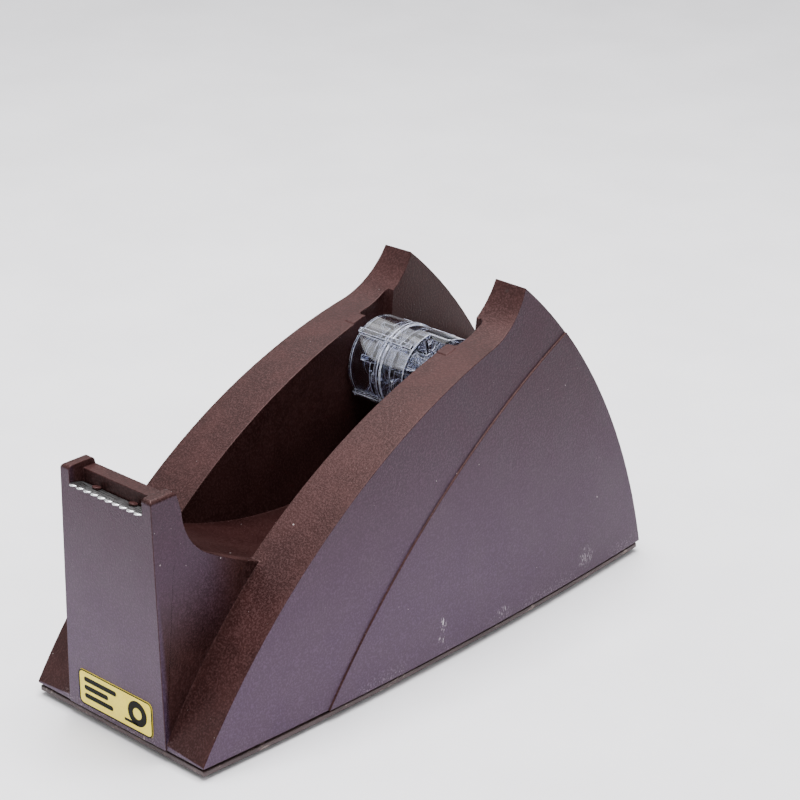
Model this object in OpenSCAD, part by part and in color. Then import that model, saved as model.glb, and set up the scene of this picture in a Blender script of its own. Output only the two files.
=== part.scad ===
// Desk tape dispenser for 25 mm core tape: a weighted hollow body with a cutting tower,
// a base plate on rubber feet, and a clear two-piece hub on an axle that lifts out.
// Units are millimetres. X is the width, the tower faces -Y, and +Z is up.
// Side-view sizes are measured from the front face and from the underside of the base plate.

/* [Overall] */
// Length from the tower's front face to the rear foot of the body
body_l = 161; // [155:1:170]
// Greatest half width of the body, at its bottom edge
half_w = 32.3; // [31:0.1:34]
// Thickness of the moulded walls
wall = 2.2; // [1.8:0.1:2.6]
// Height that the rubber feet lift the base plate
foot_h = 1; // [0.6:0.1:1.5]

/* [Base plate] */
// Thickness of the base plate
plate_t = 1.4; // [1.2:0.1:1.6]
// Dark gap between the base plate and the body
shadow_gap = 0.8; // [0.5:0.1:1]
// How far the plate's edge is set in from the body's
plate_inset = 0.4; // [0.2:0.1:0.8]
// Height of the plate's two locating ribs above the plate
rib_h = 4; // [3:0.5:5]

/* [Sides] */
// Radius of the bow of each side, seen from above
bow_r = 946; // [900:1:1000]
// Lean of each side towards the middle, in degrees
side_lean = 4; // [3:0.1:5]
// Forward rake of each side's bow, in degrees
side_rake = 21.2; // [18:0.1:24]
// Distance from the front to the widest place
widest_y = 78.4; // [74:0.1:82]
// How far the lower rear panel stands out from the side
panel_proud = 0.45; // [0.3:0.05:0.6]
// Radius of the curved edge of that panel
panel_r = 203.6; // [200:0.1:208]

/* [Rim] */
// Radius of the long curve of the rim
rim_r = 166.6; // [165:0.1:168]
// Radius of the rear edge
rear_r = 128.6; // [127:0.1:130]
// Radius of the hollow that sweeps up to the peak
flick_r = 21.5; // [20:0.1:23]
// Angle by which the rim turns outward and down, in degrees
rim_turn = 3; // [0:0.5:4]

/* [Trough] */
// Half width of the trough at the peak
trough_half_top = 14.4; // [14:0.1:14.8]
// Half width of the trough at the bottom of the body
trough_half_bottom = 12.7; // [12.4:0.1:13]
// Radius of the trough floor
floor_r = 114.2; // [112:0.1:116]
// Radius that joins the trough floor to the tower
swoop_r = 15; // [12:0.5:17]

/* [Tower] */
// Height of the ears above the underside of the base plate
tower_h = 65.1; // [63:0.1:67]
// Depth of the tower, front to back
tower_d = 9; // [8.8:0.1:9.4]
// Depth of the tower across the tops of its ears
tower_top_d = 7.6; // [7.2:0.1:8]
// Half width of the tower at its top
tower_half_top = 15.5; // [15:0.1:16]
// Half width of the tower at its foot
tower_half_foot = 17.2; // [17:0.1:17.6]
// Thickness of each ear beside the blade
ear_t = 3.1; // [2.5:0.1:3.5]
// Radius of the round top corners of the ears
ear_r = 1.2; // [0.8:0.1:1.5]
// Drop from the ears to the top of the crossbar
bar_drop = 1.7; // [1.2:0.1:2.2]
// Distance from the front face to the crossbar
bar_y = 4.3; // [4:0.1:4.6]

/* [Blade] */
// Thickness of the steel blade
blade_t = 0.5; // [0.4:0.05:0.6]
// Depth of the blade from its tooth tips to its back
blade_d = 4.8; // [4.5:0.1:5]
// Height of the tooth tips above the underside of the base plate
blade_tip_z = 61.5; // [61:0.1:62]
// How far the tooth tips stand out in front of the tower
blade_out = 0.7; // [0.5:0.1:1]
// Slope of the blade, rising to the front, in degrees
blade_tilt = 15; // [10:1:18]
// Number of teeth
teeth = 10; // [8:1:14]
// Depth of each tooth
tooth_d = 0.8; // [0.6:0.1:1.2]
// Distance of each stake from the middle
stake_x = 6.3; // [5:0.1:8]

/* [Hub] */
// Radius of the hub's round tube
hub_r = 11.1; // [11:0.05:11.3]
// Thickness of the hub's tube
hub_wall = 1.1; // [0.9:0.05:1.3]
// Half length of the hub
hub_half = 12.9; // [12.6:0.05:13.1]
// Where the two halves of the hub meet, from the middle
hub_joint_x = -3; // [-5:0.5:-2]
// Where the right half's tube ends and its two tongues start, from the middle
tube_end = 5.4; // [5:0.1:6]
// Where the tongues end
tongue_end = 12.2; // [11:0.1:12.8]
// Height of the hub's ribs above its tube
rib_proud = 1; // [0.6:0.05:1.4]
// Width of each rib
rib_w = 1.4; // [1:0.1:2.6]
// Distance of the hub's axis from the front face
hub_y = 103; // [102:0.1:104]
// Height of the hub's axis above the underside of the base plate
hub_z = 61.6; // [61:0.1:62]
// Radius of the axle
axle_r = 4.5; // [4.3:0.05:4.6]
// Half length of the axle
axle_half = 16.1; // [15.8:0.05:16.2]
// Running clearance of the hub on the axle
run_gap = 0.05; // [0.03:0.01:0.1]

/* [Slots] */
// Half width of each axle slot
slot_half = 4.8; // [4.7:0.05:5]
// Distance from the middle to the bottom of each slot pocket
slot_reach = 16.6; // [16.4:0.1:17]
// Backward lean of the slots, in degrees
slot_lean = 7; // [5:0.5:9]

/* [Weights] */
// Length of the cast weights
weight_l = 74; // [60:1:90]
// Height of the two side weights
side_weight_h = 20; // [14:1:30]
// Height of the middle weight
centre_weight_h = 25; // [18:1:27]

/* [Fasteners and feet] */
// Radius of each screw's thread
screw_r = 1.45; // [1.2:0.05:1.6]
// Length of each screw's thread
screw_l = 10; // [8:0.5:12]
// Radius of each rubber foot
foot_r = 5; // [4:0.5:6]

/* [Label] */
// Width of the label
label_w = 26; // [24:0.5:28]
// Height of the label
label_h = 9.4; // [8:0.1:10]
// Thickness of the label
label_t = 0.15; // [0.1:0.01:0.2]

/* [Hidden] */

brown = [0.27, 0.17, 0.16];
plate_brown = [0.25, 0.16, 0.15];
weight_grey = [0.45, 0.45, 0.44];
clear = [0.85, 0.88, 0.92, 0.5];

far = 400;                              // longer than any cut needs
past = 1;                               // how far a cut runs past the face it opens
fine = 180;                             // facets of the medium curves
bow_fine = 720;                         // facets of the very large curves
hole_fine = 48;                         // facets of small holes and bosses

// The middle of the whole length, blade tips included
mid_y = (body_l - blade_out - blade_t * sin(blade_tilt)) / 2;
body_z = plate_t + shadow_gap;          // bottom edge of the body
band_y = 0.35;                          // the band starts just behind the tower's face

// Centres of the curves in the side view
rim_y = 140;
rim_z = -88.4;
rear_z = -11.7;
rear_y = body_l - sqrt(pow(rear_r, 2) - pow(body_z - rear_z, 2));
flick_y = 98.05;
flick_z = 94.9;
floor_y = 75.3;
floor_z = 144.7;
panel_y = 199.5;
panel_z = -122.6;
swoop_y = tower_d + swoop_r;
swoop_z = floor_z - sqrt(pow(floor_r - swoop_r, 2) - pow(floor_y - swoop_y, 2));
swoop_end = floor_y - floor_r * (floor_y - swoop_y) / (floor_r - swoop_r);

peak_h = 85.5;                          // the rim meets the rear edge here
peak_start = flick_y + 4.8;             // where the rim turns up
peak_l = 35;                            // reaches past the rear edge
above_peak = peak_h + 5;
panel_lap = 6;                          // how far the panel's own solid goes into the side

ear_in = tower_half_top - ear_t;        // inner face of each ear
bar_top = tower_h - bar_drop;
bed_gap = 0.05;                         // under the blade
land_z = blade_tip_z - blade_out * tan(blade_tilt) - (blade_t + bed_gap) / cos(blade_tilt);
recess_h = 3;                           // the blade's recess starts this far below its tips
tower_roof = 9;                         // the hollow ends this far below the ears
centre_wall = wall + 1;                 // on both sides of the hollow under the trough
blade_half = ear_in - 0.1;
stake_in = 1.15;                        // from the blade's back to the middle of each stake
stake_r = 0.75;
stake_head_r = 1.1;
stake_head_h = 0.5;
stake_gap = 0.03;

label_z = 8.3;                          // middle of the label
label_corner = 1.6;
label_gap = 0.02;

seat_gap = 0.05;                        // between the axle and the bottom of its slots
slot_high = 30;                         // the slots' straight part runs past the rim
slot_corner = 1;                        // radius of each pocket's outer corners, seen from above
lip_l = 3.6;                            // lips in front of the slots
lip_h = 0.3;
lip_lap = 0.6;                          // how far a lip runs into its slot's front edge
lip_out = 0.8;                          // and past the slot's bottom

screw_x = 22.5;
screw_front_y = 24;
screw_rear_y = 142;
screw_sink = 0.3;                       // heads sit below the plate's underside
head_r = 2.6;
head_h = 1.5;
drive_l = 3;                            // cross recess in each head
drive_w = 0.6;
drive_d = 0.9;
boss_r = 3.6;                           // screw bosses inside the body
boss_foot = 3.2;                        // bosses end here, on the plate's own pads
pad_r = 4.4;
pad_gap = 0.02;
plate_hole_gap = 0.15;

plate_bow_r = 1088;                     // bow of the plate's edge, at the foot of the sides
rib_in = wall + 0.25;                   // the plate's ribs fit inside the walls
rib_wall = 1.4;
rib_front = 8;                          // the ribs start behind the low front of the hollow
rib_rear = body_l - 4;
foot_x = 22;
foot_front_y = 11.5;
foot_rear_y = 150;
foot_sink = 0.4;                        // how far a foot sits in the plate
foot_gap = 0.05;
foot_bond = 0.02;                       // above a foot, in its recess

weight_y = 46;                          // front of the weights
weight_z = plate_t + 0.1;
weight_gap = 0.6;                       // to the walls of the hollow
rib_room = 1.8;                         // and further from the plate's ribs

hub_bore = axle_r + run_gap;
hub_boss_r = hub_bore + 1.25;
web_t = 1.2;
web_hole_r = 1.3;
spokes = 6;
spoke_l = 4;
spoke_turn = 10;
right_web_x = 0.6;
ribs = 4;
rib_turn = 37;
tongue_turn = -28;
tongue_w = 11.1;
tongue_corner = 1.5;
band_l = 1;                             // proud bands on both sides of the joint
band_proud = 0.35;
web_lap = 0.5;                          // how far webs, spokes and ribs run into the tube's wall
spoke_lap = 0.8;
rib_lap = 0.7;
rib_end = 0.2;                          // from each end of a half to its ribs
joint_gap = 0.02;                       // between the two halves
spigot_l = 1.6;                         // the right half's spigot sits in the left half
spigot_r = hub_r - hub_wall - 0.03;
spigot_wall = 0.9;
spigot_root = 1.5;
left_web_x = hub_joint_x - spigot_l - web_t - 0.5;
axle_wall = 1.3;

// Everything is built in side-view sizes, then put with its middle at the origin.
module place() {
    translate([0, -mid_y, foot_h]) children();
}

// A flat side-view shape, given as [distance from front, height], made into a bar along X.
module side_bar() {
    rotate([90, 0, 90]) linear_extrude(far, center = true) children();
}

// All space above a height, behind the front face, and on one side of the middle.
module above(height) {
    translate([-far / 2, -far / 2, height]) cube(far);
}

module behind_front() {
    translate([-far / 2, 0, 0]) cube(far);
}

module one_half(side) {
    translate([side * far / 2, 0, 0]) cube(far, center = true);
}

// The solid inside one bowed and leaning side, grown or shrunk by `grow`.
module one_side(grow) {
    translate([half_w + grow, widest_y, 0])
        rotate([side_rake, -side_lean, 0])
            translate([-bow_r, 0, -far / 2])
                cylinder(r = bow_r, h = far, $fn = bow_fine);
}

// The space between both sides.
module between_sides(grow = 0) {
    intersection() {
        one_side(grow);
        mirror([1, 0, 0]) one_side(grow);
    }
}

module disc(across, up, r, facets = fine) {
    translate([across, up]) circle(r = r, $fn = facets);
}

// Side view of a cheek below the rim, with the hollow sweep up to the peak.
module rim_outline(inset = 0) {
    disc(rim_y, rim_z, rim_r - inset, bow_fine);
    difference() {
        translate([peak_start, hub_z]) square([peak_l, above_peak - hub_z]);
        disc(flick_y, flick_z, flick_r + inset);
    }
}

module rear_outline(inset = 0) {
    disc(rear_y, rear_z, rear_r - inset, bow_fine);
}

// Side view of the tower above the trough floor, with round top corners.
module tower_outline(inset = 0) {
    low = body_z - past;
    lean = atan((tower_d - tower_top_d) / (tower_h - swoop_z));
    high = tower_h - inset;
    back = tower_top_d + ear_r * tan(lean) - ear_r / cos(lean) - inset;
    polygon([[inset, low], [tower_d - inset, low], [tower_d - inset, swoop_z],
             [back + ear_r * cos(lean), high - ear_r * (1 - sin(lean))], [back, high],
             [inset + ear_r, high], [inset, high - ear_r]]);
    disc(inset + ear_r, high - ear_r, ear_r);
    disc(back, high - ear_r, ear_r);
}

// Side view of the tower, the trough floor and what lies below them.
module centre_outline(inset = 0) {
    low = body_z - past;
    intersection() {
        rear_outline(inset);
        union() {
            tower_outline(inset);
            difference() {
                translate([inset, low]) square([body_l, swoop_z - low]);
                disc(floor_y, floor_z, floor_r + inset, bow_fine);
            }
            difference() {
                translate([inset, low]) square([swoop_end - inset, swoop_z - low]);
                disc(swoop_y, swoop_z, swoop_r + inset);
                if (inset > 0) disc(floor_y, floor_z, floor_r + inset, bow_fine);
            }
        }
    }
}

// A bar along Y whose half width changes evenly from the bottom of the plate to a height.
module tapered_bar(half_low, half_high, high) {
    translate([0, far, 0]) rotate([90, 0, 0]) linear_extrude(2 * far)
        polygon([[-half_low, 0], [half_low, 0], [half_high, high], [-half_high, high]]);
}

module trough_bar(grow = 0) {
    tapered_bar(trough_half_bottom + grow, trough_half_top + grow, above_peak);
}

module tower_bar(grow = 0) {
    tapered_bar(tower_half_foot + grow, tower_half_top + grow, tower_h);
}

// The same bar with the top corners of both ears rounded.
module round_tower_bar() {
    lean = atan((tower_half_foot - tower_half_top) / tower_h);
    corner = tower_half_top + ear_r * tan(lean) - ear_r / cos(lean);
    side_x = corner + ear_r * cos(lean);
    side_z = tower_h - ear_r * (1 - sin(lean));
    translate([0, far, 0]) rotate([90, 0, 0]) linear_extrude(2 * far) {
        polygon([[-tower_half_foot, 0], [tower_half_foot, 0], [side_x, side_z], [corner, tower_h],
                 [-corner, tower_h], [-side_x, side_z]]);
        for (side = [-1, 1]) disc(side * corner, tower_h - ear_r, ear_r);
    }
}

// Both cheeks as plain solids, grown sideways and set in all round.
module cheeks(grow = 0, inset = 0, inner_grow = 0) {
    intersection() {
        between_sides(grow);
        side_bar() rear_outline(inset);
        translate([0, band_y + inset + far / 2, 0]) above(inset > 0 ? body_z - past : body_z);
        for (side = [-1, 1]) intersection() {
            translate([side * half_w, 0, 0]) rotate([0, 0, side * rim_turn])
                side_bar() rim_outline(inset);
            one_half(side);
        }
        difference() {
            behind_front();
            trough_bar(inner_grow);
        }
    }
}

// A flat rectangle about the middle with round corners.
module round_rectangle(half_x, half_y, r) {
    square([2 * half_x, 2 * (half_y - r)], center = true);
    square([2 * (half_x - r), 2 * half_y], center = true);
    for (side = [-1, 1], end = [-1, 1]) disc(side * (half_x - r), end * (half_y - r), r);
}

// Both slot pockets for the axle, open at the top.
module slot_cut(grow = 0) {
    reach = slot_reach + grow;
    half = slot_half + grow;
    translate([0, hub_y, hub_z]) rotate([-slot_lean, 0, 0]) intersection() {
        translate([-reach, 0, slot_half - axle_r - seat_gap]) {
            rotate([0, 90, 0]) cylinder(r = half, h = 2 * reach, $fn = fine);
            translate([0, -half, 0]) cube([2 * reach, 2 * half, slot_high]);
        }
        linear_extrude(2 * slot_high, center = true) round_rectangle(reach, half, slot_corner);
    }
}

module at_screws() {
    for (side = [-1, 1], y = [screw_front_y, screw_rear_y]) translate([side * screw_x, y, 0]) children();
}

// The hollow under the body, left open at the bottom for the weights and the base plate.
module body_cavity() {
    difference() {
        union() {
            cheeks(-wall, wall, wall);
            difference() {
                intersection() {
                    side_bar() centre_outline(wall);
                    tower_bar(-centre_wall);
                }
                above(tower_h - tower_roof);
            }
        }
        slot_cut(wall);
        at_screws() translate([0, 0, boss_foot]) cylinder(r = boss_r, h = far, $fn = hole_fine);
    }
}

// Cuts that shape the top of the tower: the crossbar's top and the blade's recess.
module tower_top_cuts() {
    translate([-ear_in, -past, bar_top]) cube([2 * ear_in, tower_d + 2 * past, far]);
    intersection() {
        translate([-ear_in, -past, land_z - recess_h]) cube([2 * ear_in, bar_y + past, far]);
        translate([0, 0, land_z]) rotate([-blade_tilt, 0, 0]) above(0);
    }
}

module at_blade() {
    translate([0, -blade_out, blade_tip_z]) rotate([-blade_tilt, 0, 0])
        translate([0, 0, -blade_t]) children();
}

module at_stakes() {
    at_blade() for (side = [-1, 1]) translate([side * stake_x, blade_d - stake_in, 0]) children();
}

// Stakes moulded on the body, with heads spread over the blade.
module stakes() {
    at_stakes() {
        translate([0, 0, -past]) cylinder(r = stake_r, h = past + blade_t + 2 * stake_gap, $fn = hole_fine);
        translate([0, 0, blade_t + stake_gap])
            cylinder(r = stake_head_r, h = stake_head_h, $fn = hole_fine);
    }
}

// Small raised lips in front of the slots that guide the axle in.
module slot_lips() {
    lip_x = slot_reach + lip_out;
    difference() {
        for (side = [-1, 1]) intersection() {
            translate([side * half_w, 0, lip_h]) rotate([0, 0, side * rim_turn]) side_bar() rim_outline();
            translate([-lip_x, hub_y - slot_half - lip_l + lip_lap, hub_z])
                cube([2 * lip_x, lip_l, slot_high]);
            one_half(side);
        }
        trough_bar();
    }
}

// The lower rear part of each side, which stands a little further out.
module raised_panels() {
    intersection() {
        cheeks(panel_proud, 0, panel_lap);
        side_bar() disc(panel_y, panel_z, panel_r, bow_fine);
    }
}

module body_shell() {
    color(brown) place() {
        difference() {
            union() {
                cheeks();
                raised_panels();
                slot_lips();
                intersection() {
                    side_bar() centre_outline();
                    round_tower_bar();
                    above(body_z);
                }
            }
            body_cavity();
            slot_cut();
            tower_top_cuts();
            at_screws() cylinder(r = screw_r + run_gap, h = boss_foot + screw_l + past, $fn = hole_fine);
        }
        stakes();
    }
}

// Plan outline of the space between the plate's bowed long edges.
module between_plate_edges(inset) {
    bow_x = half_w - plate_bow_r - inset;
    intersection() {
        disc(bow_x, widest_y, plate_bow_r, bow_fine);
        disc(-bow_x, widest_y, plate_bow_r, bow_fine);
    }
}

// A rib along each side of the plate, which leans with the wall outside it.
module plate_ribs() {
    difference() {
        intersection() {
            translate([-far / 2, rib_front, 0]) cube([far, rib_rear - rib_front, plate_t + rib_h]);
            between_sides(-rib_in);
        }
        linear_extrude(far, center = true) between_plate_edges(rib_in + rib_wall);
    }
}

module base_plate() {
    color(plate_brown) place() difference() {
        union() {
            linear_extrude(plate_t) intersection() {
                between_plate_edges(plate_inset);
                translate([-far / 2, band_y + plate_inset])
                    square([far, body_l - band_y - 2 * plate_inset]);
            }
            plate_ribs();
            at_screws() cylinder(r = pad_r, h = boss_foot - pad_gap, $fn = hole_fine);
        }
        at_screws() translate([0, 0, -past]) {
            cylinder(r = screw_r + plate_hole_gap, h = far, $fn = hole_fine);
            cylinder(r = head_r + plate_hole_gap, h = past + screw_sink + head_h + bed_gap, $fn = hole_fine);
        }
        for (side = [-1, 1], y = [foot_front_y, foot_rear_y])
            translate([side * foot_x, y, -past])
                cylinder(r = foot_r + foot_gap, h = past + foot_sink, $fn = fine);
    }
}

// Four pan-head screws with cross recesses, up through the plate into the bosses.
module base_screws() {
    color("silver") place() at_screws() translate([0, 0, screw_sink]) difference() {
        union() {
            cylinder(r = head_r, h = head_h, $fn = hole_fine);
            cylinder(r = screw_r, h = head_h + screw_l, $fn = hole_fine);
        }
        for (turn = [0, 90]) rotate([0, 0, turn])
            translate([-drive_l / 2, -drive_w / 2, -past]) cube([drive_l, drive_w, past + drive_d]);
    }
}

module rubber_foot(side, y) {
    color([0.1, 0.1, 0.1]) translate([side * foot_x, y - mid_y, 0])
        cylinder(r = foot_r, h = foot_h + foot_sink - foot_bond, $fn = fine);
}

// Cast weight under the trough floor.
module ballast_centre() {
    color(weight_grey) place() intersection() {
        side_bar() difference() {
            translate([weight_y, weight_z]) square([weight_l, centre_weight_h]);
            disc(floor_y, floor_z, floor_r + wall + weight_gap, bow_fine);
        }
        tower_bar(-centre_wall - weight_gap);
    }
}

// Cast weight inside one cheek.
module side_weight(side) {
    color(weight_grey) place() intersection() {
        cheeks(-wall - weight_gap - rib_room, wall + weight_gap, wall + weight_gap + rib_room);
        one_half(side);
        translate([-far / 2, weight_y, weight_z]) cube([far, weight_l, side_weight_h]);
    }
}

module ballast_left() {
    side_weight(-1);
}

module ballast_right() {
    side_weight(1);
}

// Steel blade with a toothed front edge and two holes for the stakes.
module cutter_blade() {
    pitch = 2 * blade_half / teeth;
    color([0.75, 0.76, 0.78]) place() difference() {
        at_blade() linear_extrude(blade_t) difference() {
            translate([-blade_half, 0]) square([2 * blade_half, blade_d]);
            for (i = [0:teeth]) translate([-blade_half + i * pitch, 0])
                polygon([[-pitch / 2, -bed_gap], [pitch / 2, -bed_gap], [0, tooth_d]]);
        }
        at_stakes() translate([0, 0, -past])
            cylinder(r = stake_r + stake_gap, h = blade_t + 2 * past, $fn = hole_fine);
    }
}

module front_label() {
    color([0.93, 0.85, 0.5]) place() translate([0, -label_gap, label_z]) rotate([90, 0, 0])
        linear_extrude(label_t) round_rectangle(label_w / 2, label_h / 2, label_corner);
}

module along_x(from, to, r) {
    translate([from, 0, 0]) rotate([0, 90, 0]) cylinder(r = r, h = to - from, $fn = fine);
}

module ring(from, to, outer, inner) {
    difference() {
        along_x(from, to, outer);
        along_x(from - past, to + past, inner);
    }
}

module at_hub() {
    place() translate([0, hub_y, hub_z]) children();
}

// Cuts that leave only two tongues of the right half's tube beyond its end.
module tongue_cuts() {
    difference() {
        along_x(tube_end, hub_half + past, hub_r + past);
        along_x(tube_end - past, hub_half + 2 * past, hub_boss_r + tongue_corner);
        for (turn = [0, 180]) rotate([tongue_turn + turn, 0, 0])
            translate([0, 0, hub_boss_r]) linear_extrude(far)
                round_rectangle(tongue_end, tongue_w / 2, tongue_corner);
    }
}

// One half of the hub: tube, bored boss, a pierced web with spokes on one side of it,
// towards -X (side = -1) or +X (side = 1), ribs outside, and a proud band at the joint.
module hub_half_solid(from, to, web_x, side) {
    hub_in = hub_r - hub_wall;
    joint_x = side < 0 ? to : from;
    rib_to = side < 0 ? to : tube_end;
    spoke_x = web_x + web_t / 2 + (side < 0 ? -spoke_l : 0);
    difference() {
        union() {
            ring(from, to, hub_r, hub_in);
            along_x(from, to, hub_boss_r);
            for (i = [0:spokes - 1]) rotate([i * 360 / spokes + spoke_turn, 0, 0])
                translate([spoke_x, -web_t / 2, 0]) cube([spoke_l, web_t, hub_in + spoke_lap]);
            difference() {
                along_x(web_x, web_x + web_t, hub_in + web_lap);
                for (i = [0:spokes - 1]) rotate([(i + 0.5) * 360 / spokes + spoke_turn, 0, 0])
                    translate([0, 0, (hub_boss_r + hub_in) / 2])
                        along_x(web_x - past, web_x + web_t + past, web_hole_r);
            }
            for (i = [0:ribs - 1]) rotate([i * 360 / ribs + rib_turn, 0, 0])
                translate([from + rib_end, -rib_w / 2, hub_r - rib_lap])
                    cube([rib_to - from - 2 * rib_end, rib_w, rib_proud + rib_lap]);
            ring(min(joint_x, joint_x + side * band_l), max(joint_x, joint_x + side * band_l),
                 hub_r + band_proud, hub_r - rib_lap);
        }
        along_x(from - past, to + past, hub_bore);
    }
}

module hub_half_left() {
    color(clear) at_hub()
        hub_half_solid(-hub_half, hub_joint_x - joint_gap, left_web_x, -1);
}

module hub_half_right() {
    color(clear) at_hub() {
        difference() {
            hub_half_solid(hub_joint_x, hub_half, right_web_x, 1);
            tongue_cuts();
        }
        ring(hub_joint_x - spigot_l, hub_joint_x + spigot_root, spigot_r, spigot_r - spigot_wall);
        ring(hub_joint_x + rib_end, hub_joint_x + 2 * spigot_root, hub_r - web_lap, spigot_r - spigot_wall);
    }
}

module hub_axle() {
    color(clear) at_hub() ring(-axle_half, axle_half, axle_r, axle_r - axle_wall);
}

body_shell();
base_plate();
ballast_centre();
ballast_left();
ballast_right();
cutter_blade();
front_label();
hub_half_left();
hub_half_right();
hub_axle();
base_screws();
rubber_foot(-1, foot_front_y);  // foot_front_left
rubber_foot(1, foot_front_y);  // foot_front_right
rubber_foot(-1, foot_rear_y);  // foot_rear_left
rubber_foot(1, foot_rear_y);  // foot_rear_right
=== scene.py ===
"""Looks of the desk tape dispenser: materials, rounded edges, toothed blade, label print, light, camera.

Lengths are in metres in the CAD frame: +X is the right-hand side, -Y the tower's front, +Z up.
"""

import math

import bmesh
import bpy
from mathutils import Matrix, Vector


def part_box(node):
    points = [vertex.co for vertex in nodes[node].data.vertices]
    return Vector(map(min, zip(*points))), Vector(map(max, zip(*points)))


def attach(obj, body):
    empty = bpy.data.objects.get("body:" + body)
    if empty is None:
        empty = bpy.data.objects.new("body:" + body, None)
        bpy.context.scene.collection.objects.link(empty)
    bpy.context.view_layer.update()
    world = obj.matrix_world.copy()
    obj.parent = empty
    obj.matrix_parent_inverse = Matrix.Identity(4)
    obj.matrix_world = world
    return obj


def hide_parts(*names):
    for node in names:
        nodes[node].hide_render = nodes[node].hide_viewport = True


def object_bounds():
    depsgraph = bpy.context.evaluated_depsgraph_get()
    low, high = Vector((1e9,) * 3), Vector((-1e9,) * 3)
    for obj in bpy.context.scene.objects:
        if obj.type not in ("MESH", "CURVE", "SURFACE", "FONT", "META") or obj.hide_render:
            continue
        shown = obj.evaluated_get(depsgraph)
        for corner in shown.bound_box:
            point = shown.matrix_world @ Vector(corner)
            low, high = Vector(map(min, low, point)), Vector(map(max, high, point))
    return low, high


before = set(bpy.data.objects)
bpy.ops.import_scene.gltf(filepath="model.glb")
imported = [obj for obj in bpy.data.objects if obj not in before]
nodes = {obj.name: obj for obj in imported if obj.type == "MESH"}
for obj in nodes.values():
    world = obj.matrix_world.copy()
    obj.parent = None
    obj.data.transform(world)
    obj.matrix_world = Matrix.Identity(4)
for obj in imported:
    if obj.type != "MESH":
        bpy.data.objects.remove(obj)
cad_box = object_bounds()

MM = 0.001
FEET = ("foot_front_left", "foot_front_right", "foot_rear_left", "foot_rear_right")
WEIGHTS = ("ballast_centre", "ballast_left", "ballast_right")
CLEAR_PIECES = ("hub_half_left", "hub_half_right", "hub_axle")

body_low, body_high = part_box("body_shell")
label_low, label_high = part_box("front_label")
blade_low, blade_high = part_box("cutter_blade")


# ---------------------------------------------------------------- sizes of the visual details

# Width and segments of the rounding on each CAD piece that gets one.
EDGES = {
    "body_shell": (0.2 * MM, 3),
    "base_plate": (0.3 * MM, 3),
    "hub_half_left": (0.14 * MM, 2),
    "hub_half_right": (0.14 * MM, 2),
    "hub_axle": (0.2 * MM, 3),
    "base_screws": (0.12 * MM, 2),
    **{name: (0.35 * MM, 3) for name in FEET},
}
SHARP_ANGLE = math.radians(28)        # edges sharper than this are rounded
FLAT_ANGLE = math.radians(0.3)        # facets flatter than this become one
WELD_GAP = 0.001 * MM

BLADE_TILT = math.radians(15)
BLADE_T = 0.5 * MM
BLADE_D = 4.8 * MM
BLADE_SINK = 0.12 * MM                # keeps the blade inside its CAD box
TEETH = 10
TOOTH_D = 0.8 * MM
TOOTH_POWER = 0.7                     # below 1 makes the lobes broad and the roots narrow
STEPS_PER_TOOTH = 12
GROUND_D = 1.3 * MM                   # the ground strip behind the teeth
PRESS = 0.28 * MM                     # how far the teeth's tips are pressed down
PRESS_AT_ROOT = 0.35                  # share of that at the roots

LABEL_CORNER = 1.6 * MM
LABEL_BAND = 0.4 * MM                 # the outline round the label's edge
INK_GAP = 0.02 * MM
INK_T = 0.015 * MM
ROLL_X, ROLL_Z, ROLL_R, ROLL_HOLE_R = 7.8 * MM, 0.2 * MM, 3.3 * MM, 1.5 * MM
TAIL_L, TAIL_T = 4.6 * MM, 0.75 * MM
BAR_LENGTHS = (11.5 * MM, 8.5 * MM, 10.2 * MM)
BAR_HALF_T, BAR_CORNER = 0.65 * MM, 0.6 * MM
BAR_LEFT, BAR_TOP, BAR_STEP = -11 * MM, 2.4 * MM, 2.2 * MM

# Scuffs on the right-hand side: y, z, half width, half height and share.
SCUFFS = (
    (-1.5 * MM, 10.8 * MM, 1.3 * MM, 2.6 * MM, 0.9),
    (-2.2 * MM, 7.0 * MM, 1.6 * MM, 1.6 * MM, 0.9),
    (56 * MM, 8.0 * MM, 4.5 * MM, 4.0 * MM, 0.4),
    (21 * MM, 6.0 * MM, 3.0 * MM, 1.6 * MM, 0.3),
)
SCUFF_DEPTH = 6 * MM
PIT_AT, PIT_REACH = (18.8 * MM, 35.9 * MM, 85 * MM), (0.8 * MM, 0.7 * MM, 0.7 * MM)
FLASH_X, FLASH_REACH = 9.6 * MM, (0.35 * MM, 1.5 * MM, 1.4 * MM)


# ---------------------------------------------------------------- material helpers

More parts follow.
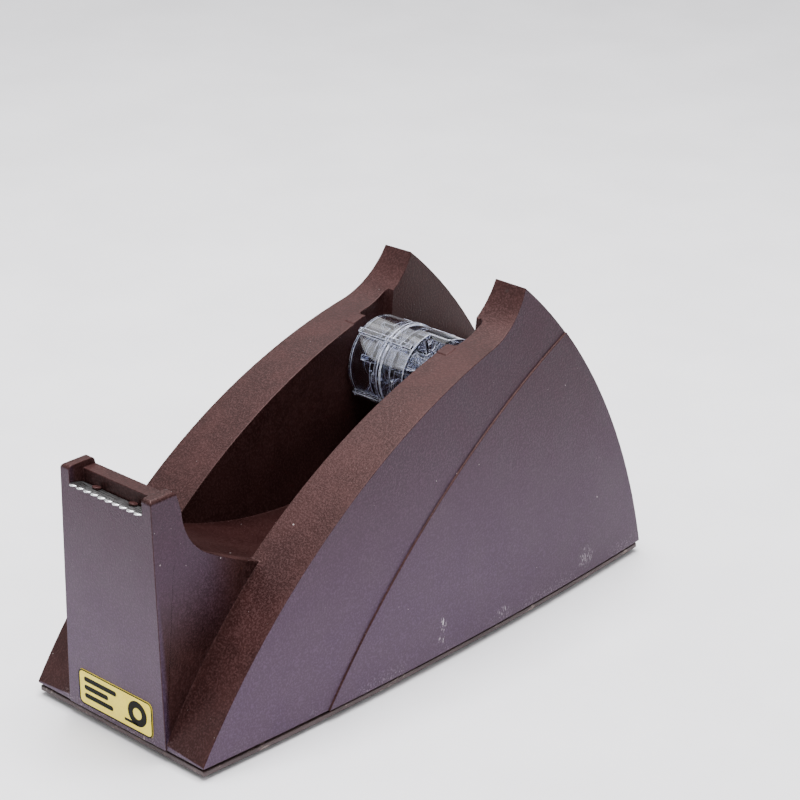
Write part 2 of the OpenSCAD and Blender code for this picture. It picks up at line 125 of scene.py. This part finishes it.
class Paint:
    """A new material whose nodes are added one call at a time."""

    def __init__(self, name):
        self.material = bpy.data.materials.new(name)
        self.material.use_nodes = True
        self.tree = self.material.node_tree
        self.shader = self.tree.nodes["Principled BSDF"]
        self.here = self.add("ShaderNodeTexCoord").outputs["Object"]

    def add(self, kind, settings=None, **inputs):
        """Adds a node. Settings are its properties, and inputs are values or sockets."""
        node = self.tree.nodes.new(kind)
        for key, value in (settings or {}).items():
            setattr(node, key, value)
        for key, value in inputs.items():
            self.feed(node.inputs[key], value)
        return node

    def feed(self, socket, value):
        """Links a node's output into a socket, or sets a plain value on it."""
        if isinstance(value, bpy.types.NodeSocket):
            self.tree.links.new(value, socket)
        else:
            socket.default_value = value

    def shade(self, **values):
        """Feeds the shader's own sockets. Underscores stand for the spaces in their names."""
        for key, value in values.items():
            self.feed(self.shader.inputs[key.replace("_", " ")], value)

    def math(self, operation, a, b=0.0, clamp=False):
        node = self.tree.nodes.new("ShaderNodeMath")
        node.operation = operation
        node.use_clamp = clamp
        self.feed(node.inputs[0], a)
        self.feed(node.inputs[1], b)
        return node.outputs[0]

    def product(self, first, *rest):
        """All the values multiplied together, each step clamped to 0..1."""
        for value in rest:
            first = self.math("MULTIPLY", first, value, clamp=True)
        return first

    def noise(self, size, detail=2.0, roughness=0.5, stretch=None, offset=(0, 0, 0)):
        """Noise with features about `size` metres across."""
        where = self.here
        if stretch or any(offset):
            mapping = self.add("ShaderNodeMapping", Vector=where)
            mapping.inputs["Scale"].default_value = stretch or (1, 1, 1)
            mapping.inputs["Location"].default_value = offset
            where = mapping.outputs[0]
        node = self.add(
            "ShaderNodeTexNoise", Vector=where, Scale=1 / size, Detail=detail, Roughness=roughness)
        return node.outputs["Fac"]

    def ramp(self, value, low, high, to_low=0.0, to_high=1.0):
        """Maps value from low..high to to_low..to_high, smoothly and clamped."""
        smooth = {"clamp": True, "interpolation_type": "SMOOTHSTEP"}
        node = self.add("ShaderNodeMapRange", smooth, Value=value)
        for socket, number in zip(node.inputs[1:5], (low, high, to_low, to_high)):
            socket.default_value = number
        return node.outputs["Result"]

    def mix(self, share, a, b):
        """Colour a with that share of colour b."""
        node = self.tree.nodes.new("ShaderNodeMix")
        node.data_type = "RGBA"
        self.feed(node.inputs["Factor"], share)
        for name, colour in (("A", a), ("B", b)):
            plain = not isinstance(colour, bpy.types.NodeSocket)
            self.feed(node.inputs[name], (*colour, 1) if plain else colour)
        return node.outputs["Result"]

    def specks(self, spacing, radius, share, offset=(0, 0, 0)):
        """Round specks of up to that radius, in that share of the cells of a jittered grid."""
        mapping = self.add("ShaderNodeMapping", Vector=self.here)
        mapping.inputs["Location"].default_value = offset
        cells = self.add("ShaderNodeTexVoronoi", Vector=mapping.outputs[0], Scale=1 / spacing)
        chosen = self.math("LESS_THAN", self.part(cells.outputs["Color"], 0), share)
        size = self.math("MULTIPLY", self.part(cells.outputs["Color"], 1), radius / spacing)
        inside = self.math("LESS_THAN", cells.outputs["Distance"], size)
        return self.math("MULTIPLY", chosen, inside)

    def part(self, vector, index):
        return self.add("ShaderNodeSeparateXYZ", Vector=vector).outputs[index]

    def unsigned(self, vector, index):
        return self.math("ABSOLUTE", self.part(vector, index))

    def near(self, spot, reach):
        """1 at a spot, falling smoothly to 0 at reach (x, y, z) from it."""
        mapping = self.add("ShaderNodeMapping", {"vector_type": "POINT"}, Vector=self.here)
        mapping.inputs["Scale"].default_value = [1 / r for r in reach]
        mapping.inputs["Location"].default_value = [-s / r for s, r in zip(spot, reach)]
        length = self.add("ShaderNodeVectorMath", {"operation": "LENGTH"})
        self.tree.links.new(mapping.outputs[0], length.inputs[0])
        return self.ramp(length.outputs["Value"], 0.35, 1, 1, 0)

    def bump(self, height, distance, strength=1.0, under=None):
        node = self.add("ShaderNodeBump", Height=height, Distance=distance, Strength=strength)
        if under:
            self.tree.links.new(under, node.inputs["Normal"])
        return node.outputs["Normal"]


# ---------------------------------------------------------------- materials

def brown_plastic():
    """Dark brown moulded plastic with a fine spark-eroded grain, dust, wear along the bottom, a painted
    reflection on upright faces and painted shade in the trough.
    """
    p = Paint("brown_plastic")
    grain = p.noise(0.50 * MM, detail=1.5, roughness=0.6)
    cloud = p.noise(9 * MM, detail=3)
    drift = p.noise(45 * MM, detail=2, offset=(0.3, 0.1, 0.7))
    deep, warm, pale = (0.012, 0.0036, 0.0034), (0.020, 0.0064, 0.0060), (0.060, 0.028, 0.028)
    tone = p.mix(p.ramp(cloud, 0.35, 0.65), deep, warm)
    tone = p.mix(p.ramp(drift, 0.4, 0.7, 0, 0.35), tone, warm)
    tone = p.mix(p.ramp(grain, 0.42, 0.68, 0, 0.42), tone, pale)

    # Where a point is, and which way its face looks.
    facing = p.add("ShaderNodeNewGeometry").outputs["True Normal"]
    across, along, height = p.unsigned(p.here, 0), p.part(p.here, 1), p.part(p.here, 2)
    upright = p.ramp(p.unsigned(facing, 2), 0.12, 0.45, 1, 0)
    sideways = p.ramp(p.unsigned(facing, 0), 0.4, 0.7)
    diagonal = p.math("ABSOLUTE", p.math("MULTIPLY", p.part(facing, 0), p.part(facing, 1)))
    flat = p.ramp(diagonal, 0.15, 0.4, 1, 0)
    rearward = p.ramp(along, -10 * MM, 70 * MM, 1, 0.72)

    # Painted reflection: the cheeks' outsides, the tower's front and the upper part of its sides get a
    # faint mauve that stands in for the floor mirrored in them, weaker higher up and further back. Tops
    # and corners don't get it.
    leaning_in = p.math("ADD", across, p.math("MULTIPLY", height, 0.07))
    outside = p.math("MULTIPLY", sideways, p.ramp(leaning_in, 24 * MM, 26 * MM))
    front = p.ramp(along, body_low.y + 0.5 * MM, body_low.y + 2 * MM, 1, 0)
    tower_side = p.product(
        p.ramp(height, 24 * MM, 50 * MM), p.ramp(across, 13.6 * MM, 14.6 * MM),
        p.ramp(along, body_low.y + 14 * MM, body_low.y + 26 * MM, 1, 0))
    painted_reflection = p.product(upright, flat, p.math("MAXIMUM", p.math("MAXIMUM", outside, front), tower_side))
    strength = p.math("MULTIPLY", rearward, p.ramp(height, 12 * MM, 70 * MM, 1.0, 0.3))
    reflected_mauve = p.mix(p.ramp(grain, 0.42, 0.70), (0.024, 0.0120, 0.026), (0.058, 0.034, 0.066))
    tone = p.mix(p.product(painted_reflection, strength, p.ramp(cloud, 0.3, 0.7, 0.8, 1.0)), tone, reflected_mauve)

    # Painted shade: the trough is painted a deeper brown for the shade the cheeks cast into it, less where
    # the painted reflection lies.
    trough = p.math(
        "MULTIPLY", p.ramp(across, 12.4 * MM, 14 * MM, 1, 0), p.ramp(height, 52 * MM, 57 * MM, 1, 0))
    painted_trough_shade = p.math("MULTIPLY", trough, p.ramp(painted_reflection, 0, 1, 0.6, 0))
    tone = p.mix(painted_trough_shade, tone, (0.009, 0.0022, 0.0020))

    dust = p.specks(2.6 * MM, 0.22 * MM, 0.16)
    fine_dust = p.specks(1.1 * MM, 0.10 * MM, 0.10, offset=(0.2, 0.5, 0.1))
    tone = p.mix(p.math("MULTIPLY", dust, 0.55), tone, (0.48, 0.42, 0.42))
    tone = p.mix(p.math("MULTIPLY", fine_dust, 0.5), tone, (0.38, 0.32, 0.32))

    # A pale rubbed line just above the bottom edge.
    low = p.ramp(height, body_low.z + 0.4 * MM, body_low.z + 4.5 * MM, 1, 0)
    rubbed = p.math("MULTIPLY", low, p.ramp(p.noise(0.5 * MM, detail=4, roughness=0.8), 0.52, 0.72))
    patchy = p.ramp(p.noise(14 * MM, detail=2, offset=(0, 0.4, 0)), 0.42, 0.62)
    tone = p.mix(p.product(rubbed, patchy, 0.55), tone, (0.46, 0.40, 0.44))

    # Scuffs where the right-hand side has been knocked.
    streaks = p.ramp(p.noise(0.7 * MM, detail=5, roughness=0.75, stretch=(1, 1.6, 0.5)), 0.53, 0.60)
    for y, z, half_width, half_height, share in SCUFFS:
        here = p.near((body_high.x, y, z), (SCUFF_DEPTH, half_width, half_height))
        tone = p.mix(p.product(here, streaks, share), tone, (0.72, 0.66, 0.70))

    # A small pit near the right-hand peak, and a flash mark under the label.
    pit = p.near(PIT_AT, PIT_REACH)
    tone = p.mix(p.math("MULTIPLY", pit, 0.8), tone, (0.02, 0.012, 0.012))
    flash = p.near((FLASH_X, body_low.y, body_low.z), FLASH_REACH)
    tone = p.mix(p.math("MULTIPLY", flash, 0.8), tone, (0.35, 0.28, 0.27))

    # Handled tops and the trough shine less, and more reddish, than the faces with the painted reflection.
    handled = p.ramp(trough, 0, 1, 0.26, 0.14)
    fresh = p.math("MULTIPLY", rearward, p.ramp(height, 12 * MM, 80 * MM, 0.44, 0.28))
    shine = p.math("ADD", handled, p.math("MULTIPLY", painted_reflection, p.math("SUBTRACT", fresh, handled)))
    p.shade(
        Base_Color=tone,
        Roughness=p.math("ADD", p.ramp(grain, 0.3, 0.7, 0.40, 0.50), p.ramp(cloud, 0.3, 0.7, -0.03, 0.04)),
        IOR=1.53,
        Specular_IOR_Level=shine,
        Specular_Tint=p.mix(painted_reflection, (1.0, 0.63, 0.62), (1.0, 0.72, 0.97)),
        Normal=p.bump(p.noise(3 * MM, detail=2), 0.06 * MM, 0.25, under=p.bump(grain, 0.12 * MM, 0.7)))
    return p.material


def plate_plastic():
    """Greyer brown of the base plate, with a rubbed edge."""
    p = Paint("plate_plastic")
    grain = p.noise(0.5 * MM, detail=3, roughness=0.6)
    streaky = p.noise(7 * MM, detail=4, roughness=0.6, stretch=(1, 0.6, 3))
    scratched = p.ramp(p.noise(2.2 * MM, detail=5, roughness=0.7, stretch=(1, 0.4, 1)), 0.60, 0.66)
    tone = p.mix(p.ramp(streaky, 0.35, 0.65), (0.030, 0.014, 0.014), (0.060, 0.034, 0.034))
    tone = p.mix(p.ramp(grain, 0.45, 0.7, 0, 0.5), tone, (0.10, 0.066, 0.066))
    p.shade(
        Base_Color=p.mix(p.math("MULTIPLY", scratched, 0.6), tone, (0.30, 0.23, 0.20)),
        Roughness=p.ramp(grain, 0.3, 0.7, 0.45, 0.62),
        Normal=p.bump(grain, 0.05 * MM, 0.5))
    return p.material


def clear_plastic():
    """Clear moulded plastic, faintly bluish, with slight flow lines and fine scratches.

    The walls bend light only a little, and a clear coat gives the plastic its full reflections.
    """
    p = Paint("clear_plastic")
    flow = p.noise(5 * MM, detail=3, stretch=(0.3, 1, 1))
    scratch = p.noise(0.5 * MM, detail=4, roughness=0.7, stretch=(0.12, 1, 1))
    edge_on = p.add("ShaderNodeLayerWeight", Blend=0.5).outputs["Facing"]
    p.shade(
        Base_Color=p.mix(p.ramp(flow, 0.3, 0.7), (0.93, 0.935, 1.0), (0.975, 0.98, 1.0)),
        Roughness=p.ramp(scratch, 0.60, 0.75, 0.0, 0.10),
        Transmission_Weight=p.ramp(edge_on, 0.70, 1.0, 1.0, 0.75),
        IOR=1.25,
        Specular_Tint=(0.88, 0.90, 1.0, 1),
        Coat_Weight=1.0,
        Coat_Tint=(0.96, 0.97, 1.0, 1),
        Coat_Roughness=0.08,
        Coat_IOR=1.75,
        Normal=p.bump(flow, 0.04 * MM, 0.15))
    return p.material


def clear_edge_highlight():
    """The small rounds along the clear plastic's edges, painted a paler, less clear blue-white as a
    painted highlight where the edges catch the light.
    """
    p = Paint("clear_edge_highlight")
    flow = p.noise(1.2 * MM, detail=3)
    p.shade(
        Base_Color=p.mix(p.ramp(flow, 0.3, 0.7), (0.66, 0.69, 0.92), (0.84, 0.87, 1.0)),
        Roughness=p.ramp(flow, 0.3, 0.7, 0.12, 0.3),
        Transmission_Weight=p.ramp(flow, 0.3, 0.7, 0.60, 0.30),
        IOR=1.45,
        Normal=p.bump(flow, 0.03 * MM, 0.3))
    return p.material


def blade_steel():
    """Cold-rolled strip steel, brushed along its length, with a little tarnish."""
    p = Paint("blade_steel")
    brushed = p.noise(0.25 * MM, detail=4, roughness=0.7, stretch=(0.06, 1, 1))
    tarnish = p.noise(2.4 * MM, detail=3)
    tone = p.mix(p.ramp(brushed, 0.3, 0.7), (0.20, 0.205, 0.21), (0.46, 0.465, 0.475))
    p.shade(
        Base_Color=p.mix(p.ramp(tarnish, 0.5, 0.75, 0, 0.5), tone, (0.14, 0.135, 0.135)),
        Roughness=p.ramp(brushed, 0.3, 0.7, 0.24, 0.42),
        Metallic=1.0,
        Normal=p.bump(brushed, 0.03 * MM, 0.5))
    return p.material


def ground_steel():
    """Bright ground faces of the teeth."""
    p = Paint("ground_steel")
    lines = p.noise(0.12 * MM, detail=3, roughness=0.7, stretch=(1, 0.1, 0.1))
    p.shade(
        Base_Color=p.mix(p.ramp(lines, 0.3, 0.7), (0.55, 0.555, 0.57), (0.80, 0.805, 0.82)),
        Roughness=p.ramp(lines, 0.3, 0.7, 0.18, 0.30),
        Metallic=1.0,
        Normal=p.bump(lines, 0.02 * MM, 0.6))
    return p.material


def label_film():
    """Yellow printed film with slight mottling."""
    p = Paint("label_film")
    mottle = p.noise(0.45 * MM, detail=3)
    cloud = p.noise(6 * MM, detail=2)
    tone = p.mix(p.ramp(mottle, 0.3, 0.7), (0.90, 0.70, 0.035), (0.98, 0.80, 0.07))
    p.shade(
        Base_Color=p.mix(p.ramp(cloud, 0.35, 0.65, 0, 0.4), tone, (0.99, 0.84, 0.12)),
        Roughness=p.ramp(mottle, 0.3, 0.7, 0.30, 0.42),
        Specular_IOR_Level=0.25,
        Normal=p.bump(cloud, 0.03 * MM, 0.4))
    return p.material


def label_ink():
    """Near-black print, a little uneven."""
    p = Paint("label_ink")
    patchy = p.noise(0.3 * MM, detail=3)
    p.shade(
        Base_Color=p.mix(p.ramp(patchy, 0.3, 0.7), (0.004, 0.004, 0.004), (0.012, 0.012, 0.012)),
        Roughness=p.ramp(patchy, 0.3, 0.7, 0.35, 0.5),
        Specular_IOR_Level=0.05)
    return p.material


def plain_grained(name, dark, light, size, rough, metallic=0.0, relief=0.03 * MM):
    """Two tones broken up by noise, with roughness and relief from the same noise."""
    p = Paint(name)
    grain = p.noise(size, detail=4, roughness=0.6)
    p.shade(
        Base_Color=p.mix(p.ramp(grain, 0.3, 0.7), dark, light),
        Roughness=p.ramp(grain, 0.3, 0.7, rough - 0.08, rough + 0.08),
        Metallic=metallic,
        Normal=p.bump(grain, relief, 0.6))
    return p.material


clear = clear_plastic()
iron = plain_grained(
    "cast_iron", (0.06, 0.06, 0.06), (0.16, 0.155, 0.15), 0.9 * MM, 0.75, metallic=0.6, relief=0.15 * MM)
rubber = plain_grained(
    "foot_rubber", (0.012, 0.012, 0.012), (0.03, 0.03, 0.03), 0.35 * MM, 0.8, relief=0.05 * MM)
materials = {
    "body_shell": brown_plastic(),
    "base_plate": plate_plastic(),
    "cutter_blade": blade_steel(),
    "front_label": label_film(),
    "base_screws": plain_grained(
        "zinc", (0.45, 0.46, 0.48), (0.66, 0.67, 0.70), 0.4 * MM, 0.35, metallic=1.0),
    **{name: clear for name in CLEAR_PIECES},
    **{name: iron for name in WEIGHTS},
    **{name: rubber for name in FEET},
}

for name, node in nodes.items():
    node.data.materials.clear()
    node.data.materials.append(materials[name])


# ---------------------------------------------------------------- rounded edges on the CAD pieces

def round_edges(node, width, segments, edge_paint=None):
    """Welds and merges flat facets, then rounds every sharp edge, in its own material if given."""
    for polygon in node.data.polygons:
        polygon.use_smooth = True
    weld = node.modifiers.new("weld", "WELD")
    weld.merge_threshold = WELD_GAP
    flat = node.modifiers.new("flat_facets", "DECIMATE")
    flat.decimate_type = "DISSOLVE"
    flat.angle_limit = FLAT_ANGLE
    edge = node.modifiers.new("edges", "BEVEL")
    edge.width = width
    edge.segments = segments
    edge.limit_method = "ANGLE"
    edge.angle_limit = SHARP_ANGLE
    edge.use_clamp_overlap = False
    if edge_paint:
        node.data.materials.append(edge_paint)
        edge.material = 1
    normals = node.modifiers.new("normals", "WEIGHTED_NORMAL")
    normals.keep_sharp = True


# The clear pieces' rounds get the painted edge highlight.
painted_edge_highlight = clear_edge_highlight()
for name, (width, segments) in EDGES.items():
    round_edges(nodes[name], width, segments, painted_edge_highlight if name in CLEAR_PIECES else None)


# ---------------------------------------------------------------- new pieces

def new_object(name, build, *paints):
    """Turns a finished bmesh into an object with its materials."""
    mesh = bpy.data.meshes.new(name)
    build.to_mesh(mesh)
    build.free()
    item = bpy.data.objects.new(name, mesh)
    bpy.context.scene.collection.objects.link(item)
    for paint in paints:
        mesh.materials.append(paint)
    return item


def piece(name, mesh_maker, body, slot, *paints):
    """Makes an object with a function that fills a bmesh, and rides it on a body."""
    build = bmesh.new()
    mesh_maker(build)
    bmesh.ops.recalc_face_normals(build, faces=build.faces)
    item = new_object(name, build, *paints)
    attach(item, body)
    return item


def make_blade(build):
    """The blade's strip, scalloped along its front, with the ground teeth pressed down."""
    steps = STEPS_PER_TOOTH * TEETH
    back = Vector((0, math.cos(BLADE_TILT), -math.sin(BLADE_TILT)))
    up = Vector((0, math.sin(BLADE_TILT), math.cos(BLADE_TILT)))
    tip = Vector((0, blade_low.y + BLADE_T * math.sin(BLADE_TILT), blade_high.z)) - up * BLADE_SINK
    slices = []
    for i in range(steps + 1):
        lobe = abs(math.sin(math.pi * TEETH * i / steps))
        across = Vector((-blade_high.x + 2 * blade_high.x * i / steps, 0, 0))
        cut = TOOTH_D * (1 - lobe ** TOOTH_POWER)
        press = PRESS * (PRESS_AT_ROOT + (1 - PRESS_AT_ROOT) * lobe)
        # One slice of the strip as (distance back, height), from the top at the back round to it.
        profile = (
            (BLADE_D, 0), (cut + GROUND_D, 0), (cut + 0.75 * MM, -0.04 * MM),
            (cut + 0.3 * MM, -0.35 * press), (cut, -press), (cut + 0.05 * MM, -press - 0.22 * MM),
            (cut + 0.55 * MM, -BLADE_T), (cut + GROUND_D, -BLADE_T), (BLADE_D, -BLADE_T), (BLADE_D, 0),
        )
        slices.append([build.verts.new(tip + across + back * b + up * h) for b, h in profile])
    for ring, following in zip(slices, slices[1:]):
        for side in range(len(ring) - 1):
            face = build.faces.new((ring[side], ring[side + 1], following[side + 1], following[side]))
            face.material_index = 1 if side in (2, 3, 4) else 0     # the teeth's ground faces
            face.smooth = side in (1, 2, 3)
    for end in (slices[0], slices[-1]):
        build.faces.new(end[:-1])
    bmesh.ops.remove_doubles(build, verts=build.verts, dist=0.0005 * MM)


blade = piece(
    "cutter_blade_toothed", make_blade, "base", "blade_steel", materials["cutter_blade"], ground_steel())
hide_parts("cutter_blade")


def rounded_outline(half_x, half_z, radius, steps=8):
    """Points round a rectangle with round corners, as (x, z) from its middle."""
    points = []
    for quarter, (sx, sz) in enumerate(((1, 1), (-1, 1), (-1, -1), (1, -1))):
        for i in range(steps + 1):
            turn = math.radians(90 * quarter + 90 * i / steps)
            points.append((sx * (half_x - radius) + radius * math.cos(turn),
                           sz * (half_z - radius) + radius * math.sin(turn)))
    return points


def circle(cx, cz, radius, steps=40):
    turns = [2 * math.pi * i / steps for i in range(steps)]
    return [(cx + radius * math.cos(turn), cz + radius * math.sin(turn)) for turn in turns]


def on_label(build, outline):
    """New points for an outline, just in front of the label's face."""
    middle = (label_low + label_high) / 2
    front = label_low.y - INK_GAP
    return [build.verts.new((middle.x + x, front, middle.z + z)) for x, z in outline]


def flat_band(build, outer, inner):
    """A flat band between two outlines with the same number of points, facing -Y."""
    outside, inside = on_label(build, outer), on_label(build, inner)
    for i in range(len(outside)):
        j = (i + 1) % len(outside)
        build.faces.new((outside[i], outside[j], inside[j], inside[i]))


def make_print(build):
    """An outline, a generic tape-roll mark with its loose end, and three plain bars."""
    half = (label_high - label_low) / 2
    flat_band(
        build, rounded_outline(half.x, half.z, LABEL_CORNER),
        rounded_outline(half.x - LABEL_BAND, half.z - LABEL_BAND, LABEL_CORNER - LABEL_BAND))
    flat_band(build, circle(ROLL_X, ROLL_Z, ROLL_R), circle(ROLL_X, ROLL_Z, ROLL_HOLE_R))
    low, left = ROLL_Z - ROLL_R, ROLL_X - TAIL_L
    tail = ((left, low), (ROLL_X, low), (ROLL_X, low + TAIL_T), (left, low + TAIL_T))
    build.faces.new(on_label(build, tail))
    for row, length in enumerate(BAR_LENGTHS):
        x, z = BAR_LEFT + length / 2, BAR_TOP - BAR_STEP * row
        bar = rounded_outline(length / 2, BAR_HALF_T, BAR_CORNER, steps=4)
        build.faces.new(on_label(build, [(x + dx, z + dz) for dx, dz in bar]))


label_print = piece("label_print", make_print, "base", "label_print", label_ink())
ink = label_print.modifiers.new("ink", "SOLIDIFY")
ink.thickness = INK_T
ink.offset = -1


# ---------------------------------------------------------------- floor, light and camera

FLOOR_HALF = 6.0
LIGHT_AIM = Vector((0, 0, 0.03))
# Name, place, side of the square and watts of each softbox.
LIGHTS = (
    ("overhead", (0, 0, 0.9), 0.6, 25),
    ("rear_left", (-0.9, 0.8, 1.1), 1.0, 4),
    ("left", (-1.2, 0, 1.0), 1.0, 4),
    ("front_left", (-0.9, -1.1, 0.8), 1.0, 4.8),
    ("right", (1.2, -0.1, 1.1), 1.0, 10),
    ("front", (0.2, -1.3, 1.1), 1.0, 4),
)
WORLD_COLOUR, WORLD_STRENGTH = (0.9, 0.9, 0.95, 1), 0.12

CAMERA_AZIMUTH, CAMERA_ELEVATION = math.radians(43.04), math.radians(23.07)
CAMERA_DISTANCE = 610.5 * MM
CAMERA_LENS, SENSOR_WIDTH = 108.63, 36          # millimetres
AIM_OFFSET = Vector((0, 17.1 * MM, 12.4 * MM))  # from the middle of the CAD box

grid = bmesh.new()
bmesh.ops.create_grid(grid, x_segments=4, y_segments=4, size=FLOOR_HALF)
floor_paper = plain_grained("floor_paper", (0.80, 0.79, 0.82), (0.84, 0.83, 0.86), 0.05, 0.75, relief=0.0)
new_object("floor", grid, floor_paper)

for name, place, side, watts in LIGHTS:
    data = bpy.data.lights.new(name, "AREA")
    data.shape = "RECTANGLE"
    data.size = data.size_y = side
    data.energy = watts
    softbox = bpy.data.objects.new(name, data)
    bpy.context.scene.collection.objects.link(softbox)
    softbox.location = place
    softbox.rotation_euler = (LIGHT_AIM - Vector(place)).to_track_quat("-Z", "Y").to_euler()

world = bpy.data.worlds.new("studio")
bpy.context.scene.world = world
world.use_nodes = True
background = world.node_tree.nodes["Background"]
background.inputs["Color"].default_value = WORLD_COLOUR
background.inputs["Strength"].default_value = WORLD_STRENGTH

cad_low, cad_high = cad_box
towards_camera = Vector((
    math.sin(CAMERA_AZIMUTH) * math.cos(CAMERA_ELEVATION),
    -math.cos(CAMERA_AZIMUTH) * math.cos(CAMERA_ELEVATION),
    math.sin(CAMERA_ELEVATION),
))
camera_data = bpy.data.cameras.new("camera")
camera_data.sensor_width = SENSOR_WIDTH
camera_data.lens = CAMERA_LENS
camera = bpy.data.objects.new("camera", camera_data)
bpy.context.scene.collection.objects.link(camera)
camera.location = (cad_low + cad_high) / 2 + AIM_OFFSET + towards_camera * CAMERA_DISTANCE
camera.rotation_euler = (-towards_camera).to_track_quat("-Z", "Y").to_euler()
bpy.context.scene.camera = camera
